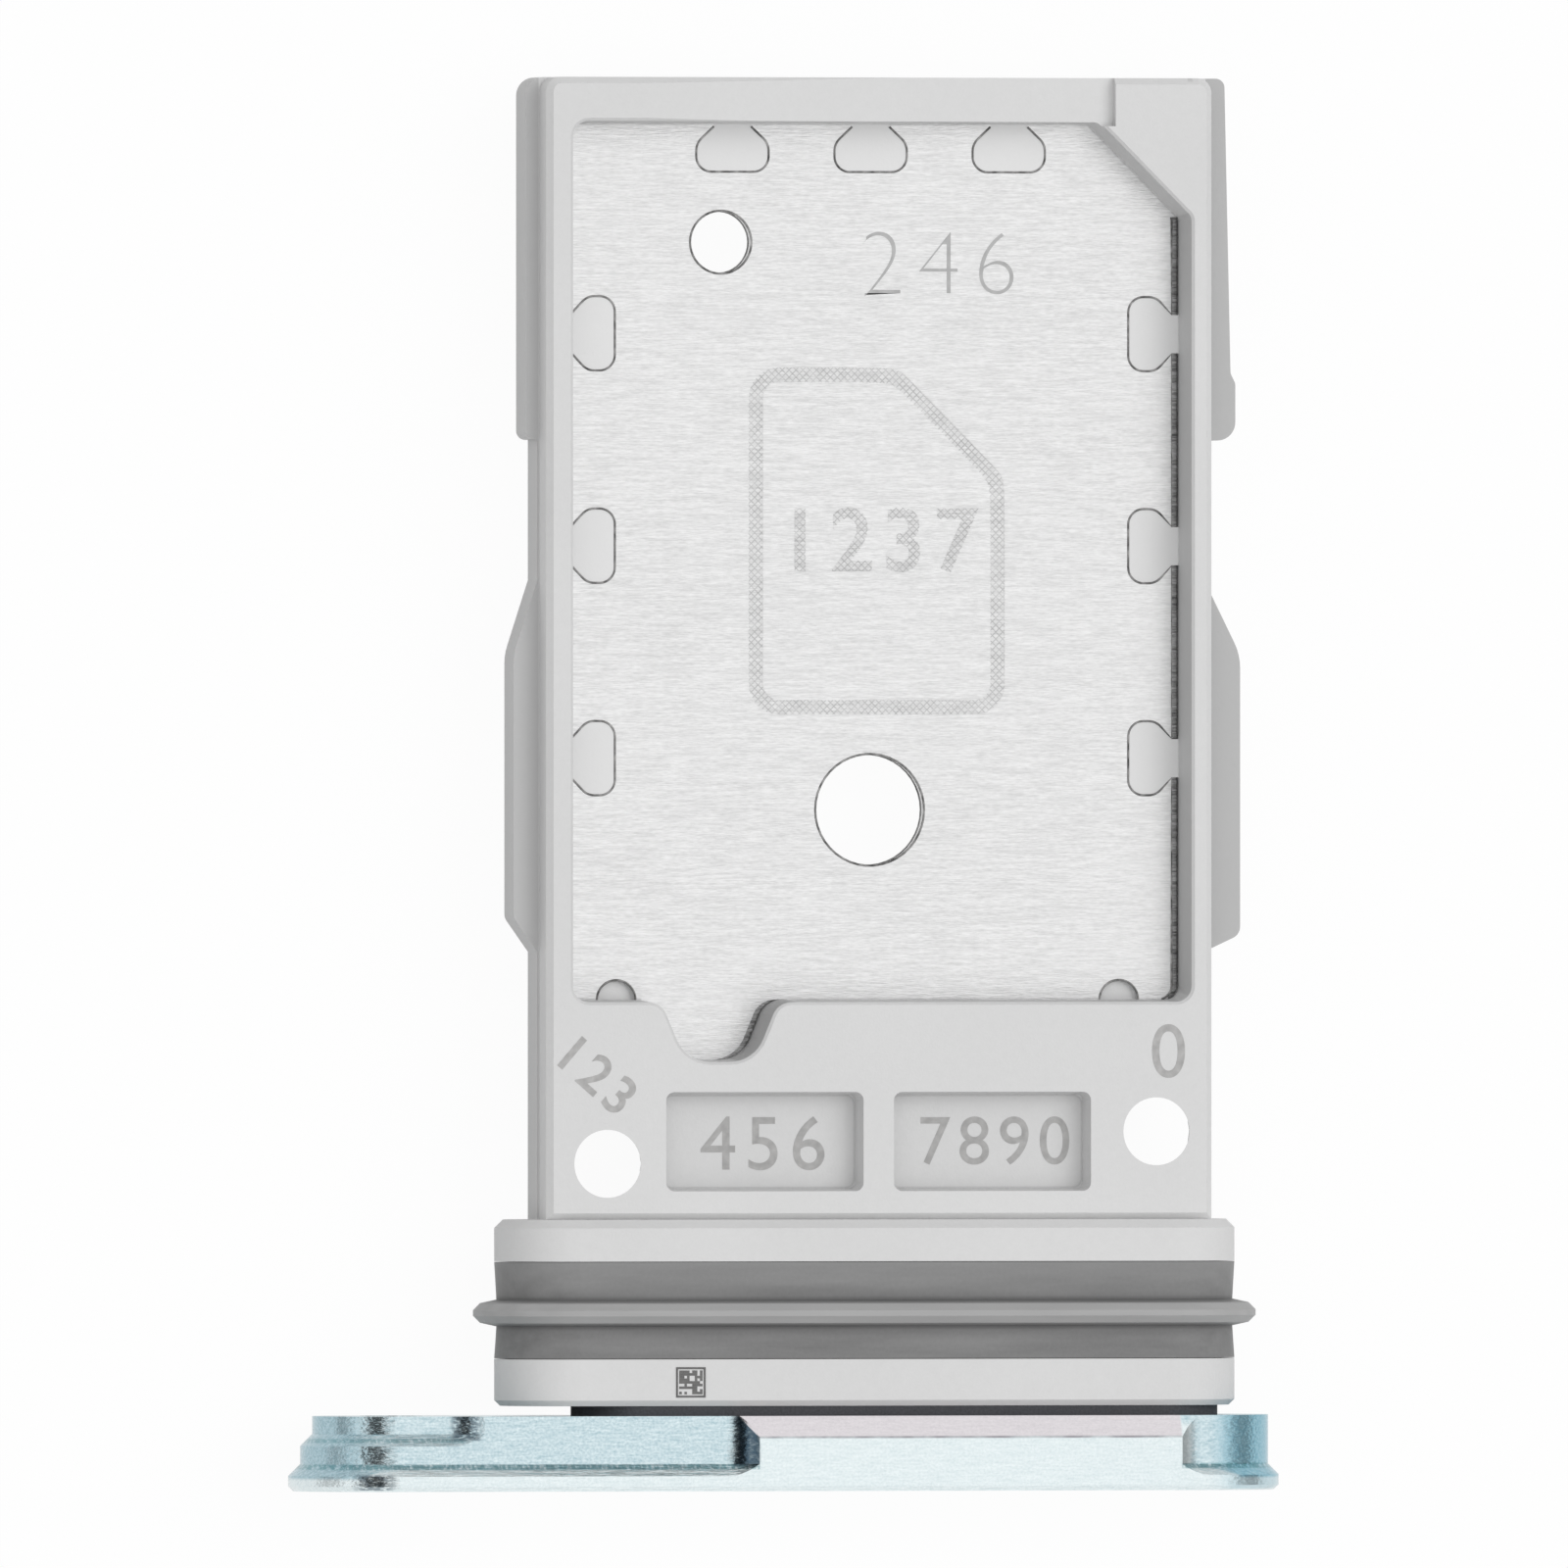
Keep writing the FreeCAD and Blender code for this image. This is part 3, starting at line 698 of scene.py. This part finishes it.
def anodised_door():
    """The door: pale blue faces, deeper steps, a bare bevel, painted shade at the steps' feet and
    painted dark reflections.
    """
    material, shader, place = start_material("pale_blue_anodised_aluminium", Metallic=1.0)
    x, y, z = axes(place)
    from_front = y - DOOR_FRONT
    up_bevel = y - (DOOR_FRONT + DOOR_DEPTH - BEVEL_WIDTH)
    from_middle = abs(z - MIDDLE)
    off_middle = from_middle.above(PIN_HOLE_BAND, 0.1)

    lines = noise(place, (3.5, 28, 28), 3.0)
    sparkle = noise(place, (22, 30, 30), 1.0, seed=6.0)
    brushed = ((lines + sparkle - 1) * 1.1 + 0.5).clamped()
    streaks = lines.below(0.5, 0.10)
    torn = even_noise(place, 3.0, seed=15.0).below(0.5, 0.2)

    on_steps = on_the_steps(y, z)
    off_steps = (1 - on_steps) * from_front.above(0.02) * from_front.below(0.4, 0.02)
    at_bevel = x.above(BEVEL_LEFT, 0.02) * x.below(BEVEL_RIGHT, 0.02)
    bare, run_out = bevel_masks(x, up_bevel, from_front, off_middle)
    burr = abs(up_bevel).below(0.015) * at_bevel
    at_left = x.below(LEFT_END, 0.25)
    at_right = x.above(RIGHT_END, 0.25)
    dashes = foot_shade_dashes(place, x, from_front, 1 - at_bevel)
    reflection_spots = painted_reflection_spots(place, x, from_front, off_middle)

    colour = mix(on_steps * (1 - at_bevel), mix(brushed, *FACE_BLUES), mix(brushed, *STEP_BLUES))
    # Painted dark reflections: the steps at both round ends and the flange's right end are painted
    # darker.
    colour = mix(on_steps * at_left * 0.62, colour, mix(streaks, *LEFT_END_REFLECTION_BLUES))
    colour = mix(on_steps * at_right * 0.85, colour, mix(streaks, *RIGHT_END_REFLECTION_BLUES))
    colour = mix(off_steps * at_right * 0.45, colour, FLANGE_END_REFLECTION_BLUE)
    # Painted shade in dashes along the feet of the steps.
    colour = mix(dashes * 0.62, colour, FOOT_SHADE_TEAL)
    # Painted dark reflection in the first run-out.
    colour = mix(run_out * (0.82 + streaks * 0.16), colour, RUN_OUT_REFLECTION_DARK)
    colour = mix(bare, colour, mix(brushed, *BARE_METALS))
    colour = mix(burr * (0.30 + torn * 0.5), colour, BURR_DARK)
    # Painted dark reflections as spots at the run-outs and the flange's round end.
    colour = mix(reflection_spots * (1 - bare) * 0.7, colour, SPOT_REFLECTION_DARK)
    feed(shader, "Base Color", colour)
    feed(shader, "Roughness", 0.14 + brushed * 0.08)

    calm = x.above(BEVEL_LEFT - 0.2, 0.3) * x.below(BEVEL_RIGHT + 0.2, 0.3)
    calm = calm.most(from_middle.below(0.65, 0.12))
    feed(shader, "Normal", bump((lines - 0.5) * (1 - calm * 0.8), 0.014))
    return material


# %% [markdown]
# The finishes go onto the pieces of the frame through their material slots. Their meshes
# stay as they are.

# %% Dress the frame
finishes = {
    "carrier": grey_plastic(),
    "steel_plate": brushed_steel(),
    "seal_ring": silicone(),
    "door_pad": black_foam(),
    "door": anodised_door(),
}
for name, finish in finishes.items():
    nodes[name].data.materials.clear()
    nodes[name].data.materials.append(finish)
    print(name, "wears", finish.name)

# %% [markdown]
# ## The fine line round each key
#
# Where the plastic fills a keyhole of the plate it shrinks as it cools, and a hair of a
# gap shows as a dark line. The punched holes have such a line too, their burr. The line
# could be drawn by hand round nine keyholes. It is easier to take the edges from the plate
# itself, and to let Geometry Nodes run a thin profile along them.

# %% Geometry Nodes helpers
def node_tree(name, sizes):
    """A geometry tree with an input for the mesh and one for each named size."""
    tree = bpy.data.node_groups.new(name, "GeometryNodeTree")
    tree.interface.new_socket("Geometry", in_out="INPUT", socket_type="NodeSocketGeometry")
    tree.interface.new_socket("Geometry", in_out="OUTPUT", socket_type="NodeSocketGeometry")
    for size in sizes:
        tree.interface.new_socket(size, in_out="INPUT", socket_type="NodeSocketFloat")
    return tree, tree.nodes.new("NodeGroupInput"), tree.nodes.new("NodeGroupOutput")


def finish_tree(tree, last, group_output, material):
    """Realize what the tree made, give it its material and send it out."""
    real = tree.nodes.new("GeometryNodeRealizeInstances")
    dressed = tree.nodes.new("GeometryNodeSetMaterial")
    dressed.inputs["Material"].default_value = material
    tree.links.new(last, real.inputs[0])
    tree.links.new(real.outputs[0], dressed.inputs["Geometry"])
    tree.links.new(dressed.outputs[0], group_output.inputs[0])


def grown(name, mesh, tree, sizes):
    """The mesh that a tree makes of a starting mesh, as a plain piece riding on the tray."""
    start = bpy.data.objects.new(name + "_start", mesh)
    bpy.context.scene.collection.objects.link(start)
    modifier = start.modifiers.new("grow", "NODES")
    modifier.node_group = tree
    for item in tree.interface.items_tree:
        if item.name in sizes and item.in_out == "INPUT":
            modifier[item.identifier] = sizes[item.name]
    evaluated = start.evaluated_get(bpy.context.evaluated_depsgraph_get())
    made = bpy.data.meshes.new_from_object(evaluated)
    bpy.data.objects.remove(start)
    place_piece(name, made)


def place_piece(name, mesh):
    """Put a finished mesh on the tray as a named piece."""
    piece = bpy.data.objects.new(name, mesh)
    bpy.context.scene.collection.objects.link(piece)
    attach(piece, "root")
    print(name, "has", len(mesh.polygons), "faces")


# %% [markdown]
# The plate's mesh has an edge wherever two of its triangles meet. The ones to keep lie at
# the height of a face, between that face and a cut wall, and inside the pocket, because
# the plate's own outline is hidden in the plastic.

# %% Edges of the plate that show
CLEAR_OF_WALL = 0.01 * MM
SAME_HEIGHT = 1e-7
FLAT = 0.9
UPRIGHT = 0.1


def shows(place):
    """Is this point of the plate inside the pocket, clear of its walls?"""
    if not pocket_left + CLEAR_OF_WALL < place.x < pocket_right - CLEAR_OF_WALL:
        return False
    if not pocket_bottom + CLEAR_OF_WALL < place.y < pocket_top - CLEAR_OF_WALL:
        return False
    cut_off = pocket_right + pocket_top - POCKET_CUT * MM
    return place.x + place.y < cut_off - CLEAR_OF_WALL


def visible_edges(height):
    """The edges of the plate at one height that lie between its face and a cut wall."""
    shape = bmesh.new()
    shape.from_mesh(nodes["steel_plate"].data)
    bmesh.ops.remove_doubles(shape, verts=shape.verts, dist=SAME_HEIGHT)
    shape.normal_update()
    kept = []
    for edge in shape.edges:
        level = all(abs(vertex.co.z - height) < SAME_HEIGHT for vertex in edge.verts)
        if level and len(edge.link_faces) == 2:
            wall, face = sorted(abs(side.normal.z) for side in edge.link_faces)
            middle = (edge.verts[0].co + edge.verts[1].co) / 2
            if wall < UPRIGHT and face > FLAT and shows(middle):
                kept.append(tuple(vertex.co.copy() for vertex in edge.verts))
    shape.free()
    return kept


def edge_mesh(name, pairs):
    """A mesh of bare edges, joined where they meet."""
    places = []
    number_of = {}
    joined = []
    for pair in pairs:
        ends = []
        for place in pair:
            key = tuple(round(value, 8) for value in place)
            if key not in number_of:
                number_of[key] = len(places)
                places.append(place)
            ends.append(number_of[key])
        joined.append(tuple(ends))
    mesh = bpy.data.meshes.new(name)
    mesh.from_pydata(places, joined, [])
    return mesh


# %% [markdown]
# The edges become curves, and a small circle swept along them makes the line. It could be
# a bevelled curve without any nodes, but this way one function makes the tree for both
# faces of the plate and for the square on the collar, each with its own radius.

# %% Run a hair line along them
LINE_RADIUS = 0.016 * MM
LINE_SIDES = 6


def hair_line_tree(material):
    """A tree that turns edges into a thin round line."""
    tree, source, sink = node_tree("hair_line", ["Radius"])
    curve = tree.nodes.new("GeometryNodeMeshToCurve")
    profile = tree.nodes.new("GeometryNodeCurvePrimitiveCircle")
    profile.inputs["Resolution"].default_value = LINE_SIDES
    swept = tree.nodes.new("GeometryNodeCurveToMesh")
    tree.links.new(source.outputs["Geometry"], curve.inputs[0])
    tree.links.new(source.outputs["Radius"], profile.inputs["Radius"])
    tree.links.new(curve.outputs[0], swept.inputs["Curve"])
    tree.links.new(profile.outputs[0], swept.inputs["Profile Curve"])
    finish_tree(tree, swept.outputs[0], sink, material)
    return tree


line_tree = hair_line_tree(ink("dark_gap", 0.21, patches=0.85))
for side, height in (("front", plate_high.z), ("back", plate_low.z)):
    edges = visible_edges(height)
    print(side, "edges:", len(edges))
    grown("key_lines_" + side, edge_mesh("edges_" + side, edges), line_tree,
          {"Radius": LINE_RADIUS})

# %% [markdown]
# ## Plain numbers
#
# Such trays carry numbers of the tool and of the slot: inked on the shoulder and in the
# windows, pressed into the plate, and hatched by a laser. A number is text, so a text
# object makes it: it gets a little thickness, becomes a mesh and moves to its face. It
# could be painted by a formula, as the card's outline is, but so many figures would be a
# long formula.

# %% Numbers as flat pieces
CAPITALS = 0.70
LETTER_SPACING = 1.2
INK_THICK = 0.004 * MM


def number(name, digits, place, height, base_z, finish, angle=0.0, bold=0.0):
    """A flat number of a height in mm, with its middle at a place, on the face at base_z."""
    text = bpy.data.curves.new(name + "_text", "FONT")
    text.body = digits
    text.size = height * MM / CAPITALS
    text.align_x = "CENTER"
    text.align_y = "CENTER"
    text.space_character = LETTER_SPACING
    text.extrude = INK_THICK
    text.offset = bold * MM
    holder = bpy.data.objects.new(name + "_text", text)
    bpy.context.scene.collection.objects.link(holder)
    evaluated = holder.evaluated_get(bpy.context.evaluated_depsgraph_get())
    mesh = bpy.data.meshes.new_from_object(evaluated)
    bpy.data.objects.remove(holder)
    spin = Matrix.Rotation(math.radians(angle), 4, "Z")
    mesh.transform(Matrix.Translation((place[0] * MM, place[1] * MM, base_z)) @ spin)
    mesh.materials.clear()
    mesh.materials.append(finish)
    place_piece(name, mesh)


# %% [markdown]
# The windows' prints lie on their sunk floors and are a trace darker than those on the
# shoulder. The hatched number stands in the etched card, and the pressed one above it is
# thinned, because a pressed stroke is narrow.

# %% Print, hatch and press them
window_floor = rim_z - WINDOW_DEPTH * MM
window_print = ink("printed_grey", 0.36)
shoulder_print = ink("pale_printed_grey", 0.40)
number("window_number_left", "456", (-0.40, -5.12), 0.76, window_floor, window_print)
number("window_number_right", "7890", (2.95, -5.08), 0.68, window_floor, window_print)
number("corner_number", "123", (-2.93, -4.12), 0.54, rim_z, shoulder_print,
       angle=-41, bold=0.010)
number("ring_number", "0", (5.39, -3.82), 0.76, rim_z, shoulder_print)
number("slot_number", "1237", (card_middle[0] + 0.02, 3.40), 0.88, plate_high.z,
       etched_steel(), bold=0.018)
number("pressed_number", "246", (2.23, 7.31), 0.96, plate_high.z,
       pressed_groove_shade(), bold=-0.040)

# %% [markdown]
# ## The etched square on the collar
#
# A laser marks each moulding with a small square of dots, so that it can be traced. Here
# the dots are random, with a solid frame. Geometry Nodes lay out the grid, drop some of
# its points by chance, and set a flat dot on each that is left. The frame is a hair line
# along four edges, as round the keys. Painting the dots would take a longer formula.

# %% A square of random dots
SQUARE_SIDE = 0.40 * MM
SQUARE_MIDDLE = Vector((-1.58 * MM, -8.445 * MM, middle_z + 1.002 * MM))
FRAME_RADIUS = 0.020 * MM
GRID_SIDE = 0.30 * MM
DOT_COUNT = 9
DOT_SIZE = 0.0368 * MM
DOT_SHARE = 0.68
DOT_SEED = 7


def dot_tree(material):
    """A tree that sets a flat dot on a chance selection of points."""
    tree, source, sink = node_tree("etched_dots", ["Dot size", "Share kept"])
    points = tree.nodes.new("GeometryNodeMeshToPoints")
    chance = tree.nodes.new("FunctionNodeRandomValue")
    chance.data_type = "BOOLEAN"
    chance.inputs["Seed"].default_value = DOT_SEED
    dot = tree.nodes.new("GeometryNodeMeshCube")
    size = tree.nodes.new("ShaderNodeCombineXYZ")
    placed = tree.nodes.new("GeometryNodeInstanceOnPoints")
    tree.links.new(source.outputs["Geometry"], points.inputs["Mesh"])
    tree.links.new(source.outputs["Share kept"], chance.inputs["Probability"])
    tree.links.new(source.outputs["Dot size"], size.inputs["X"])
    tree.links.new(source.outputs["Dot size"], size.inputs["Y"])
    size.inputs["Z"].default_value = INK_THICK
    tree.links.new(size.outputs[0], dot.inputs["Size"])
    tree.links.new(points.outputs[0], placed.inputs["Points"])
    tree.links.new(chance.outputs[3], placed.inputs["Selection"])
    tree.links.new(dot.outputs[0], placed.inputs["Instance"])
    finish_tree(tree, placed.outputs[0], sink, material)
    return tree


def grid_mesh(name, middle, side, count):
    """Points of a square grid, as a mesh without edges."""
    step = side / (count - 1)
    places = [
        middle + Vector((i * step - side / 2, j * step - side / 2, 0))
        for i in range(count) for j in range(count)
    ]
    mesh = bpy.data.meshes.new(name)
    mesh.from_pydata(places, [], [])
    return mesh


def square_edges(middle, side):
    """The four edges of a square, as pairs of places."""
    turns = ((-1, -1), (1, -1), (1, 1), (-1, 1))
    corners = [middle + Vector((a * side / 2, b * side / 2, 0)) for a, b in turns]
    return [(corners[i], corners[(i + 1) % 4]) for i in range(4)]


burnt = ink("burnt_grey", 0.14)
grown("etched_square", grid_mesh("grid", SQUARE_MIDDLE, GRID_SIDE, DOT_COUNT),
      dot_tree(burnt), {"Dot size": DOT_SIZE, "Share kept": DOT_SHARE})
grown("etched_frame", edge_mesh("frame_edges", square_edges(SQUARE_MIDDLE, SQUARE_SIDE)),
      hair_line_tree(burnt), {"Radius": FRAME_RADIUS})

# %% [markdown]
# ## The floor
#
# A product shot on white could be made with a bright floor, but that would light the
# tray's underside and wash out its walls. Light Path tells a camera ray from the others:
# it sees a floor that is nearly white by itself, while the light that reaches the tray
# stays plain. A small part of the floor is still a diffuse surface, so the tray's soft
# shadow stays under it. Polished metal sees the floor a trace darker than the camera does.

# %% A white floor
FLOOR_HALF = 0.25
FLOOR_BELOW = 0.02 * MM
FLOOR_SHADE = 0.05
FLOOR_IN_GLOSS = 0.88

floor_mesh = bpy.data.meshes.new("floor")
floor_mesh.from_pydata(
    [(-FLOOR_HALF, -FLOOR_HALF, 0), (FLOOR_HALF, -FLOOR_HALF, 0),
     (FLOOR_HALF, FLOOR_HALF, 0), (-FLOOR_HALF, FLOOR_HALF, 0)], [], [(0, 1, 2, 3)])
floor = bpy.data.objects.new("floor", floor_mesh)
floor.location.z = cad_box[0][2] - FLOOR_BELOW
bpy.context.scene.collection.objects.link(floor)


def floor_finish():
    """White to the camera and nearly white to metal, with a little of the tray's shadow."""
    material, shader, _ = start_material("white_floor", Roughness=0.9)
    tree = material.node_tree
    shader.inputs["Base Color"].default_value = grey(0.80)
    shader.inputs["Specular IOR Level"].default_value = 0.0
    path = tree.nodes.new("ShaderNodeLightPath")
    seen = Value(tree, path.outputs["Is Camera Ray"])
    glossy = Value(tree, path.outputs["Is Glossy Ray"])
    shaded = Value(tree, shader.outputs[0])

    def glow(level):
        return seen.node("ShaderNodeEmission", None, {"Color": grey(level), "Strength": 1.0})

    def mix_shaders(factor, first, second):
        return seen.node("ShaderNodeMixShader", None, {0: factor, 1: first, 2: second})

    plain = mix_shaders(glossy, shaded, glow(FLOOR_IN_GLOSS))
    blended = mix_shaders(seen * (1 - FLOOR_SHADE), plain, glow(1.0))
    tree.links.new(blended.socket, tree.nodes["Material Output"].inputs["Surface"])
    return material


floor_mesh.materials.append(floor_finish())
print("floor at z, mm:", round(floor.location.z / MM, 3))

# %% [markdown]
# ## The light
#
# The world does most of the work. For plain surfaces it is a fill, strongest from above
# and a little stronger from the left. For metal it is a white room with dark places in it,
# because a mirror shows only what is round it. The room is darker towards the horizon. A
# narrow gap overhead draws the dark bands on the door, and a weak flag at each side shades
# the door's ends. These could be black cards in the scene, but cards would also shade the
# plastic.

# %% The world
FROM_ABOVE = 1.15
FROM_AROUND = 0.22
FROM_LEFT = 0.19
HORIZON_DARK = 0.45
GAP_MIDDLE = -0.31
GAP_HALF = 0.25
GAP_DARK = 0.95
FLAG_RIGHT = 0.76
FLAG_RIGHT_DARK = 0.42
FLAG_LEFT = -0.88
FLAG_LEFT_DARK = 0.22


def studio_world():
    """White for the camera, a white room with dark places for metal, and plain fill."""
    world = bpy.data.worlds.new("studio")
    bpy.context.scene.world = world
    world.use_nodes = True
    tree = world.node_tree
    background = tree.nodes["Background"]
    path = tree.nodes.new("ShaderNodeLightPath")
    coordinates = tree.nodes.new("ShaderNodeTexCoord")
    x, y, z = axes(Value(tree, coordinates.outputs["Generated"]))
    seen = Value(tree, path.outputs["Is Camera Ray"])
    glossy = Value(tree, path.outputs["Is Glossy Ray"])
    horizon = 1 - abs(z).below(0.32, 0.24) * y.above(-0.5, 0.2) * HORIZON_DARK
    gap = 1 - x.near(GAP_MIDDLE, GAP_HALF, 0.06) * abs(y).below(0.45, 0.12) * GAP_DARK
    right_flag = x.above(FLAG_RIGHT, 0.06) * FLAG_RIGHT_DARK
    left_flag = x.below(FLAG_LEFT, 0.05) * FLAG_LEFT_DARK
    room = horizon * gap * (1 - right_flag - left_flag)
    overhead = z.most(0.0)
    fill = overhead * overhead * FROM_ABOVE + FROM_AROUND + x.below(-0.6, 0.3) * FROM_LEFT
    strength = seen.most(glossy * room) + (1 - seen.most(glossy)) * fill
    tree.links.new(strength.socket, background.inputs["Strength"])
    background.inputs["Color"].default_value = grey(1.0)


studio_world()
print("world:", bpy.context.scene.world.name)

# %% [markdown]
# The key light is one large soft panel at the upper right, which leaves the walls that face
# left darker. It could be a sun, but a sun's shadows have hard edges, and the photograph's
# are soft.

# %% The key light
KEY_PLACE = (0.30, 0.10, 0.42)
KEY_PANEL = 0.40
KEY_POWER = 0.88


def panel(name, place, size, power):
    """A square soft light that looks at the tray and isn't seen in its metal."""
    lamp = bpy.data.lights.new(name, "AREA")
    lamp.shape = "SQUARE"
    lamp.size = size
    lamp.energy = power
    holder = bpy.data.objects.new(name, lamp)
    holder.location = place
    holder.rotation_euler = (target - Vector(place)).to_track_quat("-Z", "Y").to_euler()
    bpy.context.scene.collection.objects.link(holder)
    holder.visible_glossy = False
    print(name, "light, W:", power)


panel("key", KEY_PLACE, KEY_PANEL, KEY_POWER)
bpy.context.scene.view_settings.view_transform = "Standard"
